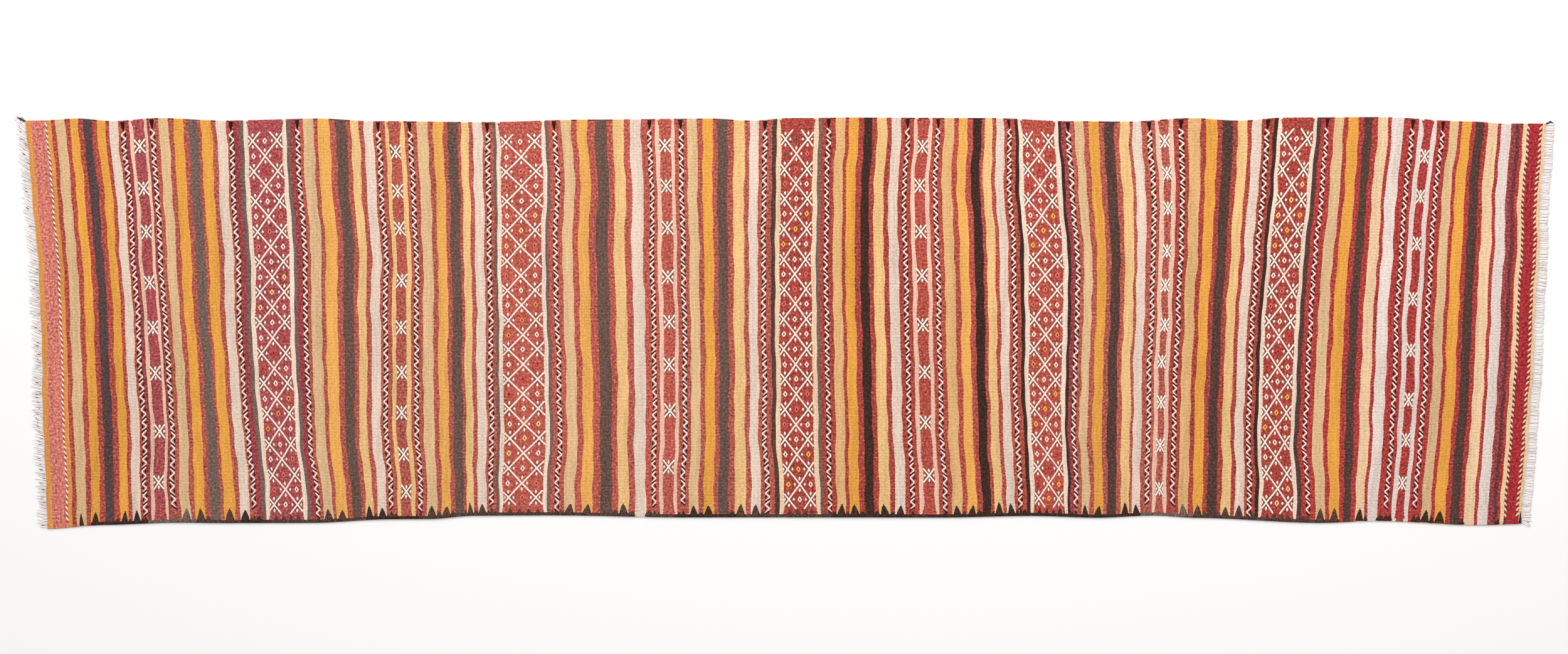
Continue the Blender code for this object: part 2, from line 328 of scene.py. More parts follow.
def weave_group():
    """Colour, roughness and height of packed weft, from the cloth's coordinates."""
    tree, given, result = new_group(
        "packed weft",
        [("Dye", COLOUR), ("Rubbed", COLOUR), ("Abrash", NUMBER), ("Rub", NUMBER), ("Mottle", NUMBER)],
        [("Color", COLOUR), ("Roughness", NUMBER), ("Height", NUMBER)])
    cloth = add(tree, "ShaderNodeUVMap", uv_map="weave").outputs["UV"]
    axes = add(tree, "ShaderNodeSeparateXYZ", {0: cloth}).outputs
    row_streaks = noise(tree, stretched(tree, cloth, 430, 9), 1.0, 3.0)
    batches = noise(tree, stretched(tree, cloth, 34, 2.5), 1.0, 2.0)
    specks = noise(tree, stretched(tree, cloth, 640, 330), 1.0, 2.0)
    groove_shade_noise = noise(tree, stretched(tree, cloth, 40, 11), 1.0, 2.0)
    across = times(tree, axes["Y"], 1 / RIB)
    # each rib has dashes of its own, so the mottling is read rib by rib
    rib_place = add(tree, "ShaderNodeCombineXYZ", {
        "X": times(tree, axes["X"], 230.0),
        "Y": times(tree, maths(tree, "FLOOR", times(tree, across, 2.0)), 0.37),
    }).outputs[0]
    blotches = noise(tree, rib_place, 1.0, 3.0)
    from_groove = maths(tree, "PINGPONG", across, 0.5)
    groove = minus(tree, 1.0, times(tree, from_groove, 5.0), clamp=True)
    half_step = times(tree, maths(tree, "FLOOR", across), 0.5)
    along = plus(tree, times(tree, axes["X"], 1 / WEFT), half_step)
    beat = times(tree, maths(tree, "PINGPONG", along, 0.5), 2.0)
    weft_round = maths(tree, "SQRT", beat)
    # shade: 1 with each effect added or taken away
    shade = maths(tree, "MULTIPLY_ADD", row_streaks, 0.60)
    shade.node.inputs[2].default_value = 0.70
    batch_shade = times(tree, minus(tree, batches, 0.5), given["Abrash"])
    shade = plus(tree, shade, batch_shade)
    mottle = times(tree, minus(tree, blotches, 0.5), given["Mottle"])
    shade = plus(tree, shade, mottle)
    # painted shade: the colour is darkened in the grooves between the ribs, more deeply in patches of noise
    groove_shade_patches = times(tree, minus(tree, groove_shade_noise, 0.48), 5.0, clamp=True)
    depth = plus(tree, times(tree, groove_shade_patches, 0.32), 0.14)
    shade = minus(tree, shade, times(tree, groove, depth))
    dye = add(tree, "ShaderNodeVectorMath", {0: given["Dye"], "Scale": shade}, operation="SCALE").outputs[0]
    fibre = plus(tree, times(tree, specks, 0.45), times(tree, blotches, 0.55))
    tips = times(tree, minus(tree, fibre, 0.53), 9.0, clamp=True)
    on_top = times(tree, tips, minus(tree, 1.0, groove))
    worn = times(tree, on_top, given["Rub"], clamp=True)
    tree.links.new(mix_colour(tree, worn, dye, given["Rubbed"]), result["Color"])
    rough = plus(tree, 0.82, times(tree, blotches, 0.16))
    tree.links.new(rough, result["Roughness"])
    height = plus(tree, times(tree, weft_round, 0.6), times(tree, specks, 0.5))
    tree.links.new(height, result["Height"])
    return tree


def yarn_group():
    """Colour, roughness and height of a plied yarn that lies on the face."""
    tree, given, result = new_group(
        "plied yarn", [("Dye", COLOUR), ("Shade_and_soil", COLOUR), ("Ply", NUMBER)],
        [("Color", COLOUR), ("Roughness", NUMBER), ("Height", NUMBER)])
    cloth = add(tree, "ShaderNodeUVMap", uv_map="weave").outputs["UV"]
    axes = add(tree, "ShaderNodeSeparateXYZ", {0: cloth}).outputs
    slant = plus(tree, axes["X"], times(tree, axes["Y"], 1.3))
    twist = maths(tree, "PINGPONG", times(tree, slant, given["Ply"]), 0.5)
    fibres = noise(tree, stretched(tree, cloth, 1300, 900), 1.0, 2.0)
    soil = noise(tree, stretched(tree, cloth, 90, 90), 1.0, 2.0)
    # painted shade: the yarn is darkened towards its second, darker colour in the hollows between its plies;
    # the soil and fibre noise add real dirt and fibre variation
    hollow = minus(tree, 0.14, twist, clamp=True)
    dark = plus(tree, hollow, times(tree, minus(tree, soil, 0.52), 0.6),
                 clamp=True)
    dark = plus(tree, dark, times(tree, minus(tree, fibres, 0.52), 0.4),
                 clamp=True)
    tree.links.new(mix_colour(tree, dark, given["Dye"], given["Shade_and_soil"]), result["Color"])
    tree.links.new(plus(tree, 0.80, times(tree, fibres, 0.18)), result["Roughness"])
    height = plus(tree, times(tree, twist, 1.2), times(tree, fibres, 0.5))
    tree.links.new(height, result["Height"])
    return tree


WEAVE = weave_group()
YARN = yarn_group()
print("node groups:", WEAVE.name, "and", YARN.name)

# %% The dyes
# Each dye has its own colour and the colour that its rubbed fibre tips take.
DYES = {
    "brick": ("b44d42", "dd9a88"), "rust": ("b4574b", "dca48f"), "coral": ("bb594d", "e2a08e"),
    "madder": ("aa443c", "d48b78"), "scarlet": ("b03c3a", "d68274"), "wine": ("9c3f44", "c68c86"),
    "rose": ("aa4d50", "d7988f"), "crimson": ("ac2d35", "cc6660"), "plum": ("6e3739", "a06a62"),
    "faded_pink": ("d67a6d", "f3c6b8"), "apricot": ("e0984f", "edbd86"),
    "orange": ("e8a448", "f0c184"), "light_orange": ("ebad5b", "f1c78e"),
    "tan": ("deb98c", "ebd1ae"), "gold_tan": ("e0b179", "ebcc9f"),
    "yellow": ("ebc084", "f2d5aa"), "pale_yellow": ("eecaa2", "f5dec2"),
    "ash_pink": ("e6cfbe", "f1e0d3"), "pale_ash": ("e5d4cb", "f2e6df"),
    "cream": ("efd8c5", "f8ebdd"), "warm_cream": ("eecfae", "f7e3c9"), "pink_cream": ("ebc2ac", "f5dccb"),
    "aubergine": ("594344", "8f7674"), "walnut": ("6a5048", "a08a7c"), "taupe": ("786058", "a8978c"),
    "bark": ("563b35", "927a6c"), "black_brown": ("3f2822", "7d6358"),
}
PALE = ("orange", "light_orange", "tan", "gold_tan", "yellow", "pale_yellow", "ash_pink", "pale_ash",
        "cream", "warm_cream", "pink_cream", "apricot")
DARK = ("aubergine", "walnut", "taupe", "bark", "black_brown")


def wear_of(dye):
    """How mottled a dye is and how much its fibre tips are rubbed: reds show both the most."""
    if dye in PALE:
        return 0.9, 0.35
    return (2.0, 0.45) if dye in DARK else (2.7, 0.75)


def wool_shader(material):
    """A woolly Principled shader: rough, with a little sheen from loose fibre."""
    shader = material.node_tree.nodes["Principled BSDF"]
    shader.inputs["Sheen Weight"].default_value = 0.04
    shader.inputs["Sheen Roughness"].default_value = 0.6
    shader.inputs["Specular IOR Level"].default_value = 0.08
    return shader


def dress(material, group, inputs, bump):
    """Feed a group's colour, roughness and height into the material's shader."""
    tree = material.node_tree
    shader = wool_shader(material)
    made = add(tree, "ShaderNodeGroup", node_tree=group)
    for name, value in inputs.items():
        made.inputs[name].default_value = value
    relief = add(tree, "ShaderNodeBump", {"Height": made.outputs["Height"], "Distance": bump,
                                          "Strength": 1.0})
    tree.links.new(made.outputs["Color"], shader.inputs["Base Color"])
    tree.links.new(made.outputs["Roughness"], shader.inputs["Roughness"])
    tree.links.new(relief.outputs["Normal"], shader.inputs["Normal"])


def woven(dye):
    """The material of weft packed in one dye."""
    name = "woven_" + dye
    material = bpy.data.materials.get(name)
    if material is None:
        material = bpy.data.materials.new(name)
        material.use_nodes = True
        colour, rubbed = DYES[dye]
        mottle, rub = wear_of(dye)
        dress(material, WEAVE, {"Dye": linear(colour), "Rubbed": linear(rubbed), "Abrash": 0.42,
                                "Rub": rub, "Mottle": mottle}, 0.00025)
    return material


# each yarn: its colour, and the darker colour that it takes as painted shade in its ply hollows and as soil
YARNS = {
    "white_yarn": ("fff1e4", "dcbba8"), "yellow_yarn": ("ffdc90", "dca45c"),
    "gold_yarn": ("ffc54e", "d48c34"), "grey_yarn": ("7d5f50", "4b372f"),
    "coral_yarn": ("e8786a", "b04a40"), "red_yarn": ("cf4643", "962f2f"),
    "orange_yarn": ("f09a52", "b8662f"), "brown_yarn": ("74483c", "452a22"),
    "dark_yarn": ("2b1a17", "180d0b"), "pale_orange_yarn": ("ffd4ac", "dc9c74"),
    "undyed_yarn": ("fffaf8", "dccfd2"), "grey_white_yarn": ("f2e6e4", "bfadb0"),
    "corner_yarn": ("4d4648", "332d30"), "painted_gap_shadow_dark": ("6e5a5a", "3d3032"),
    "painted_gap_shadow_lavender": ("b9a2a8", "8a747c"),
}


def spun(yarn, ply=520.0):
    """The material of one loose yarn."""
    material = bpy.data.materials.get(yarn)
    if material is None:
        material = bpy.data.materials.new(yarn)
        material.use_nodes = True
        colour, shadow = YARNS[yarn]
        dress(material, YARN, {"Dye": linear(colour), "Shade_and_soil": linear(shadow), "Ply": ply}, 0.0003)
    return material


print(len(DYES), "dyes and", len(YARNS), "yarns")

# %% [markdown]
# ## The weaver's draft
# Each stripe field is the same run of stripes: tan, orange, dark, yellow and pale pink, with red
# between them. The weaver beat each field by hand, so no two fields measure the same, and the red
# changes with each batch of wool. The draft below lists every stripe as a dye and its width in
# millimetres. "red" stands for the batch that the field was woven with, and "zigzag" is the red
# ground that carries a row of zigzag.

# %% The draft
RED_BATCH = {
    "stripe_field_1": "brick", "stripe_field_2": "rust", "stripe_field_3": "rust",
    "stripe_field_4": "rust", "stripe_field_5": "coral", "stripe_field_6": "rust",
    "stripe_field_7": "madder", "stripe_field_8": "brick", "stripe_field_9": "rust",
    "stripe_field_10": "madder", "stripe_field_11": "scarlet", "stripe_field_12": "scarlet",
    "star_band_1": "rose", "star_band_2": "rust", "star_band_3": "coral", "star_band_4": "brick",
    "star_band_5": "rust", "star_band_6": "scarlet", "lattice_band_1": "rose",
    "lattice_band_2": "coral", "lattice_band_3": "madder", "lattice_band_4": "brick",
    "lattice_band_5": "madder",
}
DRAFT = {
    "end_band_left": "apricot 10.5 faded_pink 27 faded_pink 5 apricot 8",
    "stripe_field_1": "red 8.5 tan 20 red 10 orange 17.5 red 10 aubergine 17.5 red 11 orange 16 "
                      "red 7.5 ash_pink 17 red 4.5 zigzag 9 wine 7",
    "star_band_1": "pink_cream 7 red 20 pink_cream 5.5",
    "stripe_field_2": "wine 4 zigzag 11 red 7 tan 18 red 9.5 orange 19 red 9.5 taupe 18 red 6 "
                      "orange 20 red 9.5 ash_pink 19 red 5 zigzag 7 wine 12 taupe 8.5",
    "lattice_band_1": "cream 9 red 68.5 cream 8.5",
    "stripe_field_3": "taupe 7 wine 11 zigzag 8.5 red 7 tan 21 red 8 light_orange 23.5 red 12 walnut 20.5 "
                      "red 9 yellow 16 red 9.5 ash_pink 18.5 red 5.5 zigzag 8.5 red 9",
    "star_band_2": "yellow 8 red 21 yellow 9.5",
    "stripe_field_4": "red 6.5 zigzag 8.5 red 9 tan 21 red 10 light_orange 19 red 8.5 walnut 19 red 6 "
                      "yellow 14.5 red 8.5 ash_pink 18 red 6 zigzag 7.5 red 7 taupe 5.5",
    "lattice_band_2": "cream 8 red 79.5 cream 8",
    "stripe_field_5": "taupe 6.5 red 9 zigzag 9 red 9.5 tan 20.5 red 11.5 light_orange 21 red 14.5 "
                      "walnut 24 red 12 yellow 22 red 13 ash_pink 23 red 13 zigzag 8.5 red 7",
    "star_band_3": "pink_cream 8.5 red 22.5 pink_cream 7",
    "stripe_field_6": "red 7.5 zigzag 10 red 7 tan 19 red 9.5 orange 19 red 9 walnut 19 red 11 "
                      "yellow 21 red 9 ash_pink 17.5 red 7 zigzag 9.5 red 9.5 bark 8.5",
    "lattice_band_3": "warm_cream 9 red 64 warm_cream 9.5",
    "stripe_field_7": "taupe 7 red 8.5 zigzag 9.5 red 9 gold_tan 18.5 red 7 orange 19 red 11.5 "
                      "black_brown 17 red 9.5 yellow 20.5 red 10 ash_pink 19.5 red 9 zigzag 9 red 8.5",
    "star_band_4": "pink_cream 8.5 red 22.5 pink_cream 8",
    "stripe_field_8": "red 8 zigzag 9 red 9 gold_tan 20.5 red 10.5 light_orange 18.5 red 11 "
                      "black_brown 17.5 red 7 yellow 17 red 8 ash_pink 17.5 red 7 zigzag 8 red 9 "
                      "black_brown 7.5",
    "lattice_band_4": "cream 9 red 67 cream 9.5",
    "stripe_field_9": "black_brown 6 wine 8 zigzag 9.5 red 7.5 tan 16 red 9.5 orange 18 red 9.5 bark 18 "
                      "red 9 yellow 18 red 6 ash_pink 17 red 10.5 zigzag 8 red 6.5",
    "star_band_5": "pink_cream 8.5 red 13 pink_cream 8.5",
    "stripe_field_10": "red 8.5 zigzag 8.5 red 7.5 gold_tan 20 red 9 orange 19 red 9 bark 18 red 9 "
                       "yellow 17.5 red 8 ash_pink 17.5 red 6.5 zigzag 6.5 red 8 black_brown 7",
    "lattice_band_5": "cream 7.5 red 59.5 cream 8",
    "stripe_field_11": "bark 9 red 9.5 zigzag 7 red 11.5 tan 21 red 9 orange 22 red 10.5 bark 16 "
                       "red 11 pale_yellow 20 red 7 pale_ash 22 red 12.5 zigzag 9.5 red 7",
    "star_band_6": "pale_ash 10 red 17 pale_ash 9.5",
    "stripe_field_12": "red 7.5 zigzag 10 red 9 tan 18.5 red 7.5 orange 21 red 9 bark 18 red 9 "
                       "pale_yellow 21 red 7 pale_ash 20 wine 10 plum 7.5 red 7 pale_yellow 8",
    "end_band_right": "plum 5 crimson 19 crimson 7 pale_yellow 6",
}


def stripes_of(band):
    """A band's stripes from left to right: the word in the draft, its dye, and its two sides."""
    words = DRAFT[band].split()
    names, widths = words[::2], np.array(words[1::2], float)
    left, right = SPAN[band]
    sides = left + (right - left) * np.concatenate([[0], widths.cumsum()]) / widths.sum()
    red = RED_BATCH.get(band)
    return [(name, red if name in ("red", "zigzag") else name, sides[i], sides[i + 1])
            for i, name in enumerate(names)]


print(sum(len(stripes_of(band)) for band in BANDS), "stripes in the draft")

# %% [markdown]
# ## The ribbed ground
# Packed weft forms ribs along the warps, about three millimetres apart, with a groove between
# them. A plain sheet with a bump would lose them in a low view and at the edges, so the ribs are
# modelled. Each band starts as a flat grid with three rows to a rib. Solidify gives it a back,
# and then every corner is moved to its place: up on a rib or down in a groove. The columns of the
# grid follow the stripes, so each face belongs to one dye.

# %% Columns along the rug
COLUMN = 0.010       # widest column
FOLD_COLUMN = 0.0021  # and where the cloth bends
FOLD_REACH = 0.008   # the cloth bends over this much on each side of a fold
FOLD_SEARCH = 0.08   # the cloth that bends lies within this much of the fold
FOLDS = {joint["child"]: joint["pos_m"][0] for joint in frame["joints"]}


def fold_zone(fold):
    """The stretch of cloth that a fold's bend passes through, from selvedge to selvedge."""
    places = np.arange(fold - FOLD_SEARCH, fold + FOLD_SEARCH, MM)
    along, across = np.meshgrid(places, np.linspace(0, CLOTH, 41))
    cloth = np.stack([along.ravel(), across.ravel(), np.zeros(along.size)], axis=1)
    bent = along.ravel()[np.abs(lie(cloth)[:, 0] - fold) < FOLD_REACH]
    return bent.min() - COLUMN, bent.max() + COLUMN


ZONES = [fold_zone(fold) for fold in FOLDS.values()]


def columns_of(stripes):
    """Where a run of stripes is cut into columns, and the dye of each column."""
    sides, dyes = [stripes[0][2]], []
    for _, dye, left, right in stripes:
        bends = any(left < high and right > low for low, high in ZONES)
        steps = math.ceil((right - left) / (FOLD_COLUMN if bends else COLUMN))
        sides += list(np.linspace(left, right, steps + 1)[1:])
        dyes += [dye] * steps
    return np.array(sides), dyes


print("folds at", FOLDS, "bend zones", [tuple(round(float(v), 3) for v in zone) for zone in ZONES])

# %% Rows across the rug
SHOULDERS = (0.0, 0.28, 0.72)  # a groove, then the two shoulders of the rib
RIB_DEPTH = 0.00045
EDGE_ROUND = 0.0016            # the cloth thins out over this much at each selvedge
COMB = 0.0005                  # how far a dye steps past its neighbour, rib by rib
TAPER = 0.035                  # a guard stripe narrows over this much at each selvedge
GUARDED = ("star_band", "lattice_band")


def rib_rows(near, far):
    """The rows from one distance across to another: how far across each is, and its rib."""
    first, last = round(near / RIB), round(far / RIB)
    rows = [((rib + shoulder) * RIB, rib, shoulder > 0)
            for rib in range(first, last) for shoulder in SHOULDERS]
    rows.append((last * RIB, last, False))
    across, rib, raised = zip(*rows)
    return np.array(across), np.array(rib), np.array(raised)


def thinned(across):
    """1 in the cloth, falling to 0 in a quarter circle at its two edges."""
    inside = np.minimum(across, CLOTH - across)
    share = np.clip(inside / EDGE_ROUND, 0, 1)
    return np.sqrt(1 - (1 - share) ** 2)


def rib_height(across, rib, raised, below):
    """Height over the floor of the cloth's face or back at each row."""
    unevenness = 0.00006 * np.sin(rib * 2.4) + 0.00005 * np.sin(rib * 0.77)
    sunk = np.where(raised, 0.0, RIB_DEPTH) + unevenness
    half = (FACE / 2 - sunk) * thinned(across)
    return FACE / 2 + np.where(below, -half, half)


print("rows across the rug:", len(rib_rows(0, CLOTH)[0]))

# %% Guard stripes
def narrow_guards(along, stripes, across):
    """The two outer stripes of a band, narrowed from their inner side near both selvedges."""
    start, end = stripes[0][2], stripes[-1][3]
    inner = np.array([start, stripes[0][3], stripes[-1][2], end])
    share = np.clip(np.minimum(across, CLOTH - across) / TAPER, 0, 1)
    kept = 0.45 + 0.55 * share * (2 - share)
    first, last = (inner[1] - start) * (1 - kept), (end - inner[2]) * (1 - kept)
    left_part = np.clip((along - start) / (inner[1] - start), 0, 1)
    right_part = np.clip((end - along) / (end - inner[2]), 0, 1)
    middle = (inner[1] + inner[2]) / 2
    half = (inner[2] - inner[1]) / 2
    fade_left = np.clip((middle - along) / half, 0, 1)
    fade_right = np.clip((along - middle) / half, 0, 1)
    return along - first * np.minimum(left_part, fade_left) + last * np.minimum(right_part, fade_right)


# Each wave: how far it reaches, its length over a turn of a radian, and its phase for a metre of u
STRIPE_WAVES = ((0.0006, 0.023, 977), (0.0004, 0.0093, 1733))


def hand_waver(u, across):
    """How far the side of the stripe that starts at u wavers: every side in its own way."""
    return sum(reach * np.sin(across / length + phase * u) for reach, length, phase in STRIPE_WAVES)


# %% One piece of ribbed cloth
def put_in_scene(name, mesh, materials):
    """A mesh as an object at the origin, with its materials in order."""
    for material in materials:
        mesh.materials.append(material)
    piece = bpy.data.objects.new(name, mesh)
    bpy.context.scene.collection.objects.link(piece)
    return piece


def write_uv(mesh, name, corners):
    """A UV map from one pair of numbers at each face corner."""
    layer = mesh.uv_layers.new(name=name)
    layer.data.foreach_set("uv", np.asarray(corners, np.float32).ravel())


def bake_layout(column, row, below, rim_of, last_column, last_row):
    """A second map that lays out the face on the left and the back on the right."""
    margin = 0.006
    half = 0.5 - 2 * margin
    s = margin + column / last_column * half + np.where(below & ~rim_of, 0.5, 0.0)
    t = margin + row / last_row * (1 - 2 * margin)
    s = s + np.where(below & rim_of, np.sign(column / last_column - 0.5) * margin / 2, 0.0)
    return np.stack([s, t], axis=-1)


def ribbed_cloth(name, stripes, near=0.0, far=CLOTH):
    """A closed piece of the ground: its stripes as columns, its ribs as rows."""
    sides, dyes = columns_of(stripes)
    across, rib, raised = rib_rows(near, far)
    last_column, last_row = len(sides) - 1, len(across) - 1
    grid = bmesh.new()
    bmesh.ops.create_grid(grid, x_segments=last_column, y_segments=last_row, size=0.5)
    bmesh.ops.solidify(grid, geom=grid.faces[:], thickness=1.0)
    mesh = bpy.data.meshes.new(name)
    grid.to_mesh(mesh)
    grid.free()

    flat = np.empty(len(mesh.vertices) * 3)
    mesh.vertices.foreach_get("co", flat)
    flat = flat.reshape(-1, 3)
    column = np.rint((flat[:, 0] + 0.5) * last_column).astype(int)
    row = np.rint((flat[:, 1] + 0.5) * last_row).astype(int)
    below = flat[:, 2] < -0.5

    changes = np.array([False] + [a != b for a, b in zip(dyes, dyes[1:])] + [False])
    draw = np.random.default_rng(len(name) + last_column)
    step = draw.uniform(0.3, 1.0, (len(sides), rib.max() + 1)) * COMB
    step[:, ::2] *= -1
    waver = hand_waver(sides[column], across[row]) + step[column, rib[row]]
    along = sides[column] + np.where(changes[column], waver, 0.0)
    if name.startswith(GUARDED):
        along = narrow_guards(along, stripes, across[row])
    height = rib_height(across[row], rib[row], raised[row], below)
    cloth = np.stack([along, across[row], height], axis=1)
    mesh.vertices.foreach_set("co", lie(cloth).ravel())

    corner = np.empty(len(mesh.loops), int)
    mesh.loops.foreach_get("vertex_index", corner)
    face = corner.reshape(-1, 4)
    order = list(dict.fromkeys(dyes))
    dye_index = np.array([order.index(dye) for dye in dyes])
    mesh.polygons.foreach_set(
        "material_index", dye_index[np.clip(column[face].min(axis=1), 0, last_column - 1)])
    rim = np.repeat((below[face].any(axis=1) & ~below[face].all(axis=1)), 4)
    write_uv(mesh, "weave", cloth[corner, :2])
    write_uv(mesh, "OFBake", bake_layout(column[corner], row[corner], below[corner], rim,
                                         last_column, last_row))
    mesh.shade_smooth()
    mesh.set_sharp_from_angle(angle=math.radians(50))
    mesh.update()
    return put_in_scene(name, mesh, [woven(dye) for dye in order])


# %% Lay in the twenty-five bands
NEAR_RIBS = 2   # ribs of the cloth that the near selvedge takes
FAR_RIBS = 1    # and the far one
NEAR_SEAM, FAR_SEAM = NEAR_RIBS * RIB, CLOTH - FAR_RIBS * RIB


def x_range(piece):
    corners = np.empty(len(piece.data.vertices) * 3)
    piece.data.vertices.foreach_get("co", corners)
    return corners[::3].min(), corners[::3].max()


def body_at(x):
    """The body that a place along the rug belongs to."""
    if x < FOLDS["left_end"]:
        return "left_end"
    return "right_end" if x > FOLDS["right_end"] else "middle"


def hold(piece):
    """Ride on the body that the piece lies on; a piece that crosses a fold keeps its place and rides on
    neither body.
    """
    low, high = x_range(piece)
    for body, fold in FOLDS.items():
        if low < fold + FOLD_REACH and high > fold - FOLD_REACH:
            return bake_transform(piece)
    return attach(piece, body_at((low + high) / 2))


BAND_PIECES = {}
for band in BANDS:
    piece = ribbed_cloth(band + "_cloth", stripes_of(band), NEAR_SEAM, FAR_SEAM)
    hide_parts(*[name for name in GROUND if band_of(name) == band])
    hold(piece)
    BAND_PIECES[band] = piece
    print(piece.name, len(piece.data.polygons) * 2, "triangles")

# %% [markdown]
# ## The two selvedges
# At the far edge each weft turns back round the outermost warps, so every dye rolls over the edge.
# At the near edge the weaver wrapped the outermost warps in dark wool instead. Both are strips of
# the same ribbed cloth, a rib or two wide, whose outer side is rounded. Each edge is laid as four
# strips, and a strip that crosses a fold stays where it is laid, on neither body.

# %% Dyes along the near selvedge
# The dark wool changes too: each entry is how far along the rug it runs to, and its dye. "own" is
# where each stripe's own dye reaches the edge.
NEAR_DYES = [(-1.40, "own"), (-1.29, "black_brown"), (-1.19, "taupe"), (-1.12, "bark"),
             (-1.06, "black_brown"), (-0.85, "bark"), (-0.74, "black_brown"), (-0.23, "bark"),
             (-0.10, "black_brown"), (0.09, "bark"), (0.71, "black_brown"), (0.83, "taupe"),
             (1.11, "bark"), (2.0, "own")]
BARE_AT_EDGE = [("stripe_field_5", "ash_pink"), ("stripe_field_11", "pale_ash")]


def near_dye(u):
    return next(dye for until, dye in NEAR_DYES if u < until)


def near_stripes(band):
    """A band's stripes where they meet the near edge."""
    found = []
    for word, dye, left, right in stripes_of(band):
        edge = near_dye((left + right) / 2)
        own = edge == "own" or (band, word) in BARE_AT_EDGE
        found.append((word, dye if own else edge, left, right))
    return found


def far_stripes(band):
    """A band's stripes where they turn round the far edge, with most of the reds in the darker plum dye."""
    draw = random.Random(band)
    return [(word, "plum" if word in ("red", "wine") and draw.random() < 0.6 else dye, left, right)
            for word, dye, left, right in stripes_of(band)]


print("dark wool along the near edge:", sorted({dye for _, dye in NEAR_DYES} - {"own"}))

# %% Lay the selvedge strips
STRETCHES = {  # the bands along each strip, which is kept to about a metre
    "left_end": ("end_band_left", "stripe_field_3"),
    "middle_left": ("star_band_2", "stripe_field_6"),
    "middle_right": ("lattice_band_3", "star_band_5"),
    "right_end": ("stripe_field_10", "end_band_right"),
}


def stretch_of(first, last):
    return BANDS[BANDS.index(first):BANDS.index(last) + 1]


def selvedge(name, bands, pick, near, far):
    """A strip of ribbed cloth along one edge, over several bands."""
    stripes = [stripe for band in bands for stripe in pick(band)]
    piece = ribbed_cloth(name, stripes, near, far)
    hold(piece)
    print(name, len(piece.data.polygons) * 2, "triangles")
    return piece


CAD_NAME = {"left_end": "left_end", "middle_left": "middle", "middle_right": "middle",
            "right_end": "right_end"}
for place, ends in STRETCHES.items():
    near = selvedge("near_edge_" + place, stretch_of(*ends), near_stripes, 0.0, NEAR_SEAM)
    far = selvedge("far_edge_" + place, stretch_of(*ends), far_stripes, FAR_SEAM, CLOTH)
    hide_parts("near_selvedge_" + CAD_NAME[place])
    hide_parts("far_selvedge_" + CAD_NAME[place])

# %% [markdown]
# ## Yarns on the face
# Stars, lattices, zigzags and twining are extra yarns that run over the ribs, on top of the cloth.
# Each yarn is drawn as a poly curve on the straight cloth, with a small bevel and filled caps. A
# point's radius sets the yarn's width there, so a yarn can swell over a rib and end in a point.
# The whole drawing becomes one mesh, is pressed flat and is laid down like the cloth.

# %% Draw and lay yarns
PRESSED = 0.5    # a yarn's height, as a share of its width
LIFT = 0.00005   # how far its middle lies over the ribs


def new_drawing(name, materials):
    """An empty drawing; a yarn's number picks its material."""
    curve = bpy.data.curves.new(name, "CURVE")
    for material in materials:
        curve.materials.append(material)
    curve.dimensions = "3D"
    curve.bevel_depth = 1.0  # so a point's radius is half the yarn's width
    curve.bevel_resolution = 1
    curve.use_fill_caps = True
    return curve


def draw_yarn(drawing, route, widths, yarn=0, closed=False, sunk=0.0):
    """One yarn through the points of its route, with its width at each."""
    spline = drawing.splines.new("POLY")
    spline.points.add(len(route) - 1)
    spline.points.foreach_set("co", [value for u, a in route for value in (u, a, -sunk, 1.0)])
    spline.points.foreach_set("radius", [width / 2 for width in widths])
    spline.material_index = yarn
    spline.use_cyclic_u = closed


def lay_yarns(drawing, pressed=PRESSED, lift=LIFT, sink=None):
    """The drawn yarns as one mesh, pressed and laid on the face, in their materials."""
    name = drawing.name
    drawn = bpy.data.objects.new(name + "_drawing", drawing)
    mesh = bpy.data.meshes.new_from_object(drawn)
    bpy.data.objects.remove(drawn)
    bpy.data.curves.remove(drawing)
    mesh.name = name
    weld = bmesh.new()
    weld.from_mesh(mesh)
    bmesh.ops.remove_doubles(weld, verts=weld.verts, dist=1e-6)
    weld.to_mesh(mesh)
    weld.free()

    cloth = np.empty(len(mesh.vertices) * 3)
    mesh.vertices.foreach_get("co", cloth)
    cloth = cloth.reshape(-1, 3)
    corner = np.empty(len(mesh.loops), int)
    mesh.loops.foreach_get("vertex_index", corner)
    while mesh.uv_layers:
        mesh.uv_layers.remove(mesh.uv_layers[0])
    write_uv(mesh, "weave", cloth[corner, :2])
    rise = cloth[:, 2] * pressed if sink is None else np.sign(cloth[:, 2].round(7)) * sink
    cloth[:, 2] = FACE + lift + rise
    mesh.vertices.foreach_set("co", lie(cloth).ravel())
    mesh.shade_smooth()
    mesh.update()
    piece = put_in_scene(name, mesh, [])
    hold(piece)
    print(name, sum(len(face.vertices) - 2 for face in mesh.polygons), "triangles")
    return piece


def leg(drawing, start, end, width, yarn=0, bead=0.0):
    """A straight yarn with round ends, which swells a little over each rib that it crosses."""
    start, end = np.array(start), np.array(end)
    ribs = max(2, round(abs(end[1] - start[1]) / RIB))
    shares = [0.0, 0.4 / ribs] + [i / ribs for i in range(1, ribs)] + [1 - 0.4 / ribs, 1.0]
    swell = [0.45, 1.0] + [1 + bead * (-1) ** i for i in range(1, ribs)] + [1.0, 0.45]
    draw_yarn(drawing, [start + (end - start) * share for share in shares],
              [width * s for s in swell], yarn)


def almond(drawing, u, a, width, length, yarn=0, along_u=False):
    """A short float that tapers to both ends."""
    shares = (-0.5, -0.24, 0.0, 0.24, 0.5)
    route = [(u + s * length, a) if along_u else (u, a + s * length) for s in shares]
    draw_yarn(drawing, route, [width * s for s in (0.12, 0.78, 1.0, 0.78, 0.12)], yarn)


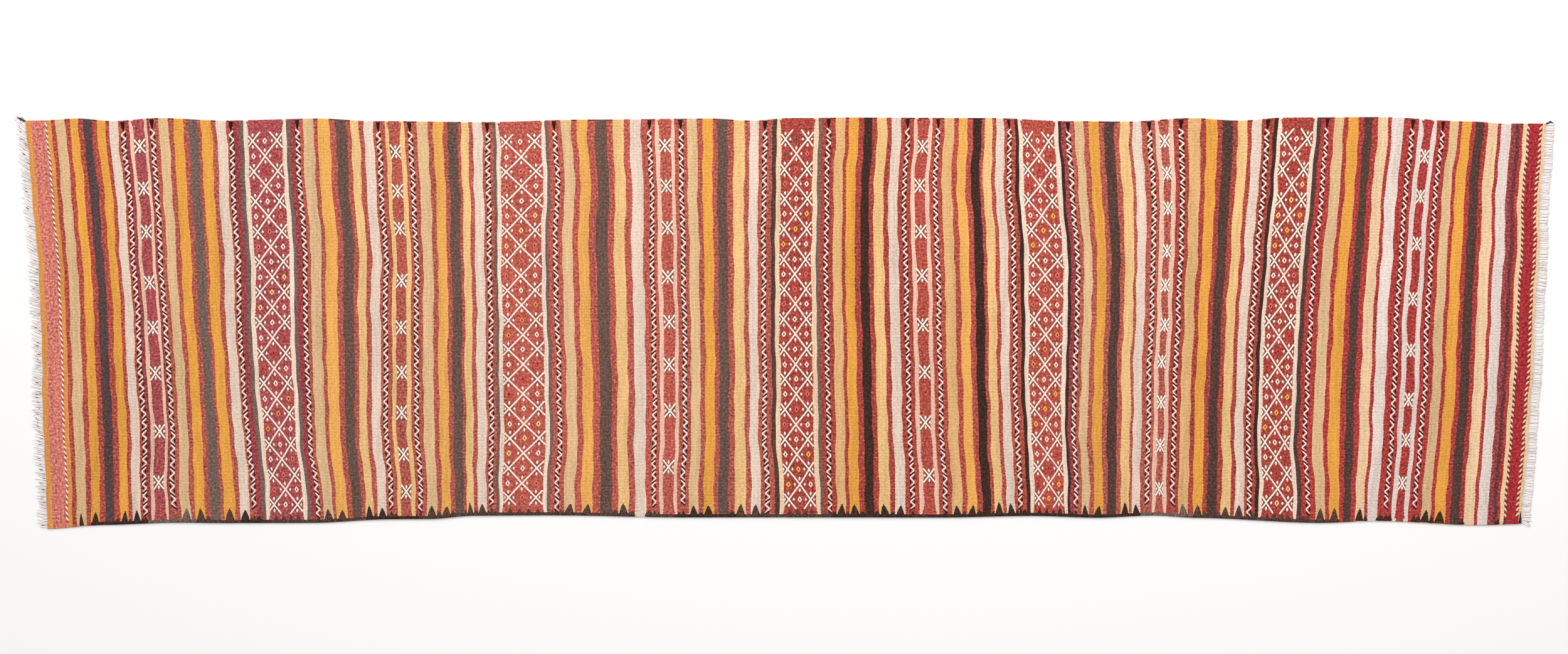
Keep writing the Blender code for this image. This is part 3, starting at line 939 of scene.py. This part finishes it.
ON_BAND = {band: [] for band in BANDS}  # the yarns that lie on each band
print("a yarn's height over the face:", round(0.0034 / 2 * PRESSED * 0.87 + LIFT, 5))

# %% [markdown]
# ### Stars
# A star is a white cross that reaches both guard stripes, with an almond in each of its corners
# and thin brown lines along its legs, where the ground weft shows. The weaver spaced them by eye,
# so each band lists how far its stars were measured to be from the far edge, in millimetres.

# %% Stars
STARS = {
    1: (54, 138, 224, 325, 414, 504, 619, 720),
    2: (62, 141, 216, 321, 415, 505, 586, 670, 745),
    3: (54, 135, 219, 318, 408, 494, 586, 699),
    4: (58, 136, 228, 316, 415, 509, 610, 716),
    5: (44, 109, 180, 266, 335, 415, 489, 571, 658, 746),
    6: (74, 154, 248, 358, 460, 558, 638, 724),
}
STAR_HEIGHT = 0.0285
STAR_LEG = 0.0036
STAR_WIDTH = 0.0165  # at least
UPPER_LINE, LOWER_LINE = 0.0013, 0.0012  # the brown lines, above and below a white leg


def star(drawing, u, a, width):
    """A cross with four almonds, and a thin brown line beside each leg."""
    w, h = width / 2, STAR_HEIGHT / 2
    for side in (-1, 1):
        leg(drawing, (u - side * w, a - h), (u + side * w, a + h), STAR_LEG, bead=0.07)
        almond(drawing, u, a + side * 0.68 * h, 0.0046, 0.0082)
        almond(drawing, u + side * 0.78 * w, a, 0.0044, 0.0062)
        for end in (-1, 1):
            leg(drawing, (u, a + end * 0.29 * h), (u + side * 0.70 * w, a + end * 0.99 * h),
                UPPER_LINE, yarn=1)
            leg(drawing, (u + side * 0.30 * w, a), (u + side * 1.0 * w, a + end * 0.68 * h),
                LOWER_LINE, yarn=1)


for number, places in STARS.items():
    band = f"star_band_{number}"
    _, _, left, right = stripes_of(band)[1]
    floats = new_drawing(f"star_floats_{number}", [spun("white_yarn"), spun("brown_yarn")])
    draw = random.Random(number)
    for place in places:
        width = max(right - left + 0.0005, STAR_WIDTH)
        star(floats, (left + right) / 2 + draw.uniform(-0.4, 0.4) * MM, CLOTH - place * MM, width)
    piece = lay_yarns(floats)
    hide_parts(f"star_brocade_{number}")
    ON_BAND[band].append(piece)

# %% [markdown]
# ### Lattices
# White diagonals cross in three columns. Rows take turns: two crossings at the sides, then one in
# the middle. An eye, which is a small ringed diamond, sits wherever a crossing is missing. The
# eyes change dye from one slanting line of eyes to the next, and the letters below follow them.

# %% Lattices
LATTICE_COLUMNS = (0.13, 0.48, 0.83)  # shares of the red ground's width
LATTICE_TOP = 0.042
LATTICE_PITCH = 0.0301
LATTICE_ROWS = 25
LATTICE_LEG = 0.0035
EYE_DYES = {1: "wrwcwywrwowcw", 2: "wcwycwowrwywc", 3: "ncwgwcwwwcwgw", 4: "wrwgwcwowgwrg",
            5: "wrygwcwrwgwry"}
LATTICE_YARNS = ["white_yarn", "brown_yarn", "dark_yarn", "coral_yarn", "red_yarn", "yellow_yarn",
                 "gold_yarn", "orange_yarn", "grey_yarn"]
EYE_YARN = {"w": 0, "c": 3, "r": 4, "y": 5, "g": 6, "o": 7, "n": 8}


def eye(drawing, u, a, letter):
    """A ringed diamond with a small dark middle."""
    w, h = 0.0032, 0.0050
    corners = [(0, h), (w * 0.62, h * 0.45), (w, 0), (w * 0.62, -h * 0.45),
               (0, -h), (-w * 0.62, -h * 0.45), (-w, 0), (-w * 0.62, h * 0.45)]
    widths = [0.0029, 0.0024, 0.0033, 0.0024] * 2
    draw_yarn(drawing, [(u + x, a + y) for x, y in corners], widths, EYE_YARN[letter], closed=True)
    almond(drawing, u, a, 0.0022, 0.0036, 4 if letter in "wyg" else 2)


def crossing(drawing, u, a, outer=0, dark=False):
    """Four almonds round a crossing; the one towards a guard stripe sits closer in."""
    for side in (-1, 1):
        almond(drawing, u, a + side * 0.0117, 0.0048, 0.0080)
        reach = 0.0075 if side == outer else 0.0100
        almond(drawing, u + side * reach, a, 0.0047 if side != outer else 0.0036, 0.0064)
        for end in (-1, 1):
            if dark:
                leg(drawing, (u, a + end * 0.0050), (u + side * 0.0050, a + end * 0.0118),
                    UPPER_LINE, yarn=1)
                leg(drawing, (u + side * 0.0036, a), (u + side * 0.0095, a + end * 0.0080),
                    LOWER_LINE, yarn=1)


def lattice(drawing, left, right, letters, draw):
    width = right - left
    columns = [left + share * width for share in LATTICE_COLUMNS]
    rows = [CLOTH - LATTICE_TOP - LATTICE_PITCH * row + draw.uniform(-0.8, 0.8) * MM
            for row in range(LATTICE_ROWS)]
    slope = LATTICE_PITCH / (columns[1] - columns[0])
    for row, a in enumerate(rows):
        line = row // 2
        if row % 2:
            crossing(drawing, columns[1], a)
            eye(drawing, columns[0], a, letters[line])
            eye(drawing, columns[2], a, letters[line + 1])
            for side in (0, 2):
                leg(drawing, (columns[1], a), (columns[side], rows[row - 1]), LATTICE_LEG, bead=0.06)
                leg(drawing, (columns[1], a), (columns[side], rows[row + 1]), LATTICE_LEG, bead=0.06)
            continue
        eye(drawing, columns[1], a, letters[line])
        for column, outer, guard in ((columns[0], -1, left), (columns[2], 1, right)):
            crossing(drawing, column, a, outer, dark=True)
            rise = abs(guard - column) * slope
            for end in (-1, 1):
                leg(drawing, (column, a), (guard, a + end * rise), LATTICE_LEG, bead=0.06)
            if row in (0, LATTICE_ROWS - 1):
                end = 1 if row == 0 else -1
                leg(drawing, (column, a), (column - outer * 0.0145, a + end * 0.0145 * slope),
                    LATTICE_LEG, bead=0.06)


for number, letters in EYE_DYES.items():
    band = f"lattice_band_{number}"
    _, _, left, right = stripes_of(band)[1]
    floats = new_drawing(f"lattice_floats_{number}", [spun(yarn) for yarn in LATTICE_YARNS])
    lattice(floats, left, right, letters, random.Random(40 + number))
    piece = lay_yarns(floats)
    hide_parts(f"lattice_brocade_{number}")
    ON_BAND[band].append(piece)

# %% [markdown]
# ### Zigzags
# A zigzag is a row of short white strokes. Each stroke goes there, back and there again, and a dark
# slash parts it from the next. Dark yarn in the notches of the stroke is painted shade. The rows
# beside a star band lean towards it, and each hand-made stroke has its own length.

# %% Zigzags
ZIGZAG_TOP = 0.021
ZIGZAG_BOTTOM = 0.019
SWING = 0.0038   # how far a stroke swings from its middle line
# the dark yarn in the notches is painted shade
NOTCH_SUNK = 0.0012  # the dark yarn lies this much lower, before it is pressed
RIGHT_LEANING = {"stripe_field_10", "stripe_field_11"}


def stroke(drawing, u, a, step, lean):
    """One white stroke of three legs, with rounded turns, a dark slash after it, and dark yarn in its
    notches as painted shade.
    """
    turn = 0.12
    legs = [(-1, 0), (1 - turn, 1 - turn), (1 - turn, 1 + turn),
            (turn - 1, 2 - turn), (turn - 1, 2 + turn), (1, 3)]
    route = [(u + lean * side * SWING, a - share * step) for side, share in legs]
    draw_yarn(drawing, route, [0.0022, 0.0032, 0.0032, 0.0032, 0.0032, 0.0022])
    slash = [(u + lean * s * SWING * 1.35, a - (3.0 + 0.5 * s) * step) for s in (-1, -0.6, 0.6, 1)]
    draw_yarn(drawing, slash, [0.0014, 0.0031, 0.0031, 0.0014], 1, sunk=NOTCH_SUNK / 2)
    # painted shade: dark yarn fills the two notches where the stroke turns
    for side, share in ((-1, 1.0), (1, 2.0)):
        notch = [(u + lean * side * SWING * (0.85 + 0.15 * s), a - (share + 0.60 * s * side) * step)
                 for s in (-1, 0, 1)]
        draw_yarn(drawing, notch, [0.0014, 0.0050, 0.0014], 1, sunk=NOTCH_SUNK)


def zigzag(drawing, u, lean, draw):
    a = CLOTH - ZIGZAG_TOP
    draw_yarn(drawing, [(u, CLOTH - 0.002), (u, CLOTH - 0.008), (u, a)], [0.0085, 0.0072, 0.0020], yarn=1)
    while a > ZIGZAG_BOTTOM + 0.012:
        step = draw.uniform(7.2, 8.8) * MM
        stroke(drawing, u + draw.uniform(-0.35, 0.35) * MM, a, step, lean)
        a -= 3 * step


for band in BANDS:
    rows = [(left, right) for word, _, left, right in stripes_of(band) if word == "zigzag"]
    for place, (left, right) in zip(("left", "right"), rows):
        is_left = len(rows) == 2 and place == "left" or band == "stripe_field_12"
        name = f"{band.replace('stripe_field', 'zigzag')}_{place if len(rows) == 2 else 'only'}"
        floats = new_drawing(name, [spun("white_yarn"), spun("dark_yarn")])
        lean = 1 if is_left or band in RIGHT_LEANING else -1
        zigzag(floats, (left + right) / 2, lean, random.Random(name))
        piece = lay_yarns(floats, pressed=0.42)
        ON_BAND[band].append(piece)

# %% [markdown]
# ### Twining
# At both ends a pair of yarns is twisted round the warps, row against row, to lock the weft in. On
# the face it shows as a line of slanting stitches.

# %% Twining
TWINING_TOP = 0.009     # from the far edge to the first stitch
TWINING_BOTTOM = 0.014  # no stitch starts nearer to the near edge
TWINING = {  # node: band, stripe's place in it, its dyes, the pitch, the lean and the stitch width
    "twining_left": ("end_band_left", 2, ["white_yarn", "brown_yarn"], 0.0110, -1, 0.0028),
    "twining_right_inner": ("end_band_right", 0, ["pale_orange_yarn", "brown_yarn"], 0.0110, -1, 0.0036),
    "twining_right_outer": ("end_band_right", 2, ["pale_orange_yarn", "brown_yarn"], 0.0110, 1, 0.0036),
}


def twined_row(drawing, left, right, pitch, lean, width, draw):
    """Slanting stitches, each a light yarn, with a thin strip of the darker yarn half a pitch on as painted
    shade.
    """
    middle, reach = (left + right) / 2, max((right - left) / 2, 0.0022)
    a = CLOTH - TWINING_TOP
    while a > TWINING_BOTTOM:
        skew = draw.uniform(0.7, 1.0) * reach * lean
        fall = pitch * draw.uniform(0.30, 0.36)
        stitch = [(middle + skew * s, a + fall * s) for s in (-1, -0.5, 0.5, 1)]
        draw_yarn(drawing, stitch, [width * s for s in (0.4, 1, 1, 0.4)])
        # painted shade: a thin strip of the darker yarn between one stitch and the next
        shadow = [(middle + skew * s, a - pitch / 2 + fall * s) for s in (-1, 0, 1)]
        draw_yarn(drawing, shadow, [width * s for s in (0.2, 0.5, 0.2)], yarn=1)
        a -= pitch * draw.uniform(0.93, 1.07)


for node, (band, place, yarns, pitch, lean, width) in TWINING.items():
    _, _, left, right = stripes_of(band)[place]
    floats = new_drawing(node.replace("twining", "twined_row"), [spun(yarn) for yarn in yarns])
    twined_row(floats, left, right, pitch, lean, width, random.Random(node))
    piece = lay_yarns(floats)
    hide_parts(node)
    ON_BAND[band].append(piece)

# %% [markdown]
# ### Teeth
# Along the near edge the dark wool runs up into each light stripe as a tooth, one rib narrower with
# each step. Smaller mounds stand under the zigzags and the lattices. Each is a flat ribbon whose
# width shrinks rib by rib.

# %% Teeth along the near edge
TOOTH_HEIGHT = 0.00030
TOOTHED = ("tan", "gold_tan", "orange", "light_orange", "yellow", "pale_yellow", "ash_pink", "pale_ash")
TOOTH = 0.0240   # from the edge to the tip
MOUND = (0.0085, 0.0130)  # heights of the mounds under the red stripes
ZIGZAG_MOUND = (0.012, 0.016)
LATTICE_MOUND = (0.012, 0.018)
TOOTHLESS = set(BARE_AT_EDGE) | {("stripe_field_12", "pale_ash"), ("stripe_field_12", "pale_yellow")}
TEETH_DYES = ["black_brown", "bark", "taupe"]


def tooth(drawing, u, base, height, yarn, draw):
    """A stepped wedge from the near edge, as a ribbon that narrows at every rib."""
    steps = max(2, round(height / RIB))
    tip = u + draw.uniform(-0.12, 0.12) * base
    route, widths = [], []
    for step in range(steps):
        share = step / steps
        middle = u + (tip - u) * share
        width = base * (1 - share) ** 0.75
        route += [(middle, 0.0012 + step * RIB), (middle, (step + 0.86) * RIB + 0.0012)]
        widths += [width, width * 0.90]
    draw_yarn(drawing, route + [(tip, height + 0.0008)], widths + [0.0006], yarn)


def teeth(drawing, bands, draw):
    for band in bands:
        for word, _, left, right in stripes_of(band):
            middle, width = (left + right) / 2, right - left
            dye = near_dye(middle)
            if dye == "own" and band == "end_band_left" or (band, word) in TOOTHLESS:
                continue
            yarn = 0 if dye == "own" else TEETH_DYES.index(dye)
            if word in TOOTHED and not band.startswith("star"):
                height = TOOTH * draw.uniform(0.90, 1.15)
                slim = band == "stripe_field_1" and word == "tan"
                base = width * (0.5 if slim else draw.uniform(0.90, 1.10))
                tooth(drawing, middle, base, height, yarn, draw)
            elif word in ("red", "wine") and band.startswith("stripe") and draw.random() < 0.5:
                tooth(drawing, middle, width * 1.5, draw.uniform(*MOUND), yarn, draw)
            elif word == "zigzag":
                tooth(drawing, middle, width * 1.1, draw.uniform(*ZIGZAG_MOUND), yarn, draw)
            elif word == "red" and band.startswith("lattice"):
                for share in (0.16, 0.40, 0.63, 0.86):
                    tooth(drawing, left + share * width, draw.uniform(0.009, 0.013),
                          draw.uniform(*LATTICE_MOUND), yarn, draw)


for place, ends in STRETCHES.items():
    ribbons = new_drawing("near_teeth_" + place, [woven(dye) for dye in TEETH_DYES])
    teeth(ribbons, stretch_of(*ends), random.Random(place))
    piece = lay_yarns(ribbons, sink=TOOTH_HEIGHT)

# %% [markdown]
# ## Fringes
# The warps are cut an inch past the last weft and left as a short fringe. On the left they are
# twisted in pairs and lean a little this way and that, with gaps between them. On the right they
# stand closer and were trimmed to one line. Each strand starts inside the weft.

# %% Fringes
FRINGE_WIDTH = 0.0024
STRAND_PITCH = 2 * RIB
INSIDE = 0.003   # how far a strand starts inside the weft
LEFT_LENGTHS = (0.016, 0.023)
RIGHT_LENGTH = 0.0185
FRINGE_DROP = 0.0013  # the strands lie lower than the weft's face


def strand(drawing, side, a, length, lean, width, draw):
    """A cut strand: it leaves the weft round, thickens a little and frays at its tip."""
    end = START if side < 0 else END
    shares = (-INSIDE / length, 0.05, 0.30, 0.60, 0.85, 1.0)
    bow = draw.uniform(-0.0006, 0.0006)
    route = [(end + side * share * length, a + lean * max(share, 0) + bow * math.sin(3 * share))
             for share in shares]
    draw_yarn(drawing, route, [width * s for s in (0.6, 0.8, 1.0, 1.08, 1.0, 0.5)], draw.choice((0, 0, 1)))


def fringe(drawing, side, draw):
    count = round(CLOTH / STRAND_PITCH)
    for number in range(count):
        a = (number + 0.5) * STRAND_PITCH
        wave = math.sin(a / 0.047) * math.sin(a / 0.019 + 1)
        if side < 0:
            length = draw.uniform(*LEFT_LENGTHS)
            lean = 0.003 * wave + 0.0035 + 0.0085 * (a / CLOTH) ** 2
            strand(drawing, side, a, length, lean + draw.uniform(-1.5, 1.5) * MM,
                   FRINGE_WIDTH * draw.uniform(0.85, 1.15), draw)
            strand(drawing, side, a + 0.45 * STRAND_PITCH, length * draw.uniform(0.6, 1.0),
                   lean + draw.uniform(-1.5, 1.5) * MM, FRINGE_WIDTH * 0.62, draw)
            # painted shadow: short dark strands lie in the gaps between the strands
            for part in (0.24, 0.74):
                near = draw.uniform(0.0, 0.010)
                gap = a + part * STRAND_PITCH
                route = [(START - near - reach, gap + lean * (near + reach) / 0.018)
                         for reach in (0.0, 0.003, 0.0065)]
                if draw.random() < 0.65:
                    draw_yarn(drawing, route, [0.0006, 0.0019, 0.0006], yarn=draw.choice((3, 4)))
        else:
            for part in (0.0, 0.5):
                droop = 0.010 * max(0.0, 1 - a / 0.012)
                strand(drawing, side, a + part * STRAND_PITCH, RIGHT_LENGTH + draw.uniform(-1, 1) * 1.1 * MM,
                       0.0016 * wave - 0.0015 - droop, FRINGE_WIDTH * draw.uniform(0.95, 1.15), draw)
            # painted shadow: short dark strands lie in the gaps between the strands
            if draw.random() < 0.85:
                near = draw.uniform(0.001, 0.013)
                gap = a + 0.25 * STRAND_PITCH - 0.001
                route = [(END + near + reach, gap - 0.15 * reach) for reach in (0.0, 0.002, 0.0045)]
                draw_yarn(drawing, route, [0.0005, 0.0015, 0.0005], yarn=draw.choice((3, 4)))


for side, name, body in ((-1, "fringe_left", "left_end"), (1, "fringe_right", "right_end")):
    strands = new_drawing(name.replace("fringe", "cut_warps"),
                          [spun("undyed_yarn"), spun("grey_white_yarn"), spun("corner_yarn"),
                           spun("painted_gap_shadow_dark"), spun("painted_gap_shadow_lavender")])
    fringe(strands, side, random.Random(name))
    if side < 0:
        for tail in (0.055, 0.020):
            hook = [(START - 0.014, tail - 0.004), (START - 0.004, tail + 0.002),
                    (START + 0.004, tail + 0.001), (START + 0.010, tail + 0.006)]
            draw_yarn(strands, hook, [0.0018, 0.0022, 0.0022, 0.0014])
    # the end of the far selvedge's dark yarn lies over the corner
    end = START if side < 0 else END
    tuft = [(end - side * 0.004, CLOTH - 0.002), (end + side * 0.003, CLOTH - 0.0005),
            (end + side * 0.010, CLOTH + 0.003), (end + side * 0.016, CLOTH + 0.0065 * (side < 0))]
    draw_yarn(strands, tuft, [0.0024, 0.0044, 0.0050, 0.0022], yarn=2)
    piece = lay_yarns(strands, pressed=0.62, lift=-FRINGE_DROP)
    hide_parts(name, "warps_" + body)
    ON_BAND["end_band_left" if side < 0 else "end_band_right"].append(piece)
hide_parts("warps_middle")

# %% [markdown]
# ## What lies as cloth
# The runner is one cloth, woven to length and laid on the floor. The cell below only reads each
# band's span along the rug.

# %% Each band's span
for band, piece in BAND_PIECES.items():
    left, right = SPAN[band]

# %% [markdown]
# ## The studio
# The runner is looked at from straight above, so the camera stands high up with a long lens, which
# keeps both ends as true as the middle. The light is a bright overcast: a pale world and one wide,
# soft sun from the far left. A long window beyond the far edge rakes over the ribs, and leaves the
# near side a little darker.

# %% Camera, lights and floor
VIEW_WIDTH = 3.125
CAMERA_HEIGHT = 6.0
SENSOR = 36.0
AIM = Vector((-0.003, -0.0131, 0.0))
DAYLIGHT = (1.0, 0.985, 0.96)
WORLD_STRENGTH = 0.56
SUN_STRENGTH = 1.0
WINDOW_POWER = 45.0


def stand(name, data):
    """A camera or a light in the scene."""
    made = bpy.data.objects.new(name, data)
    bpy.context.scene.collection.objects.link(made)
    return made


camera_data = bpy.data.cameras.new("camera")
camera_data.sensor_width = SENSOR
camera_data.lens = SENSOR * CAMERA_HEIGHT / VIEW_WIDTH
camera = stand("camera", camera_data)
camera.location = AIM + Vector((0, 0, CAMERA_HEIGHT))
bpy.context.scene.camera = camera

world = bpy.data.worlds.new("overcast")
world.use_nodes = True
sky = world.node_tree.nodes["Background"].inputs
sky["Color"].default_value = (1.0, 0.99, 0.98, 1.0)
sky["Strength"].default_value = WORLD_STRENGTH
bpy.context.scene.world = world
bpy.context.scene.view_settings.view_transform = "Standard"

sun_data = bpy.data.lights.new("soft_sun", "SUN")
sun_data.energy = SUN_STRENGTH
sun_data.angle = math.radians(25)
sun_data.color = DAYLIGHT
sun = stand("soft_sun", sun_data)
sun.rotation_euler = Vector((0.45, -0.75, -1.0)).to_track_quat("-Z", "Y").to_euler()

window_data = bpy.data.lights.new("far_window", "AREA")
window_data.shape = "RECTANGLE"
window_data.size = 4.4
window_data.size_y = 1.0
window_data.energy = WINDOW_POWER
window_data.color = DAYLIGHT
window = stand("far_window", window_data)
window.location = Vector((0.1, 1.9, 1.6))
window.rotation_euler = (AIM - window.location).to_track_quat("-Z", "Y").to_euler()

FLOOR_SIZE = 14.0
floor_mesh = bmesh.new()
bmesh.ops.create_grid(floor_mesh, x_segments=1, y_segments=1, size=FLOOR_SIZE / 2)
floor_data = bpy.data.meshes.new("studio_floor")
floor_mesh.to_mesh(floor_data)
floor_mesh.free()
pale = bpy.data.materials.new("pale_floor")
pale.use_nodes = True
finish = pale.node_tree.nodes["Principled BSDF"].inputs
finish["Base Color"].default_value = (0.97, 0.97, 0.97, 1.0)
finish["Roughness"].default_value = 0.9
floor = put_in_scene("studio_floor", floor_data, [pale])
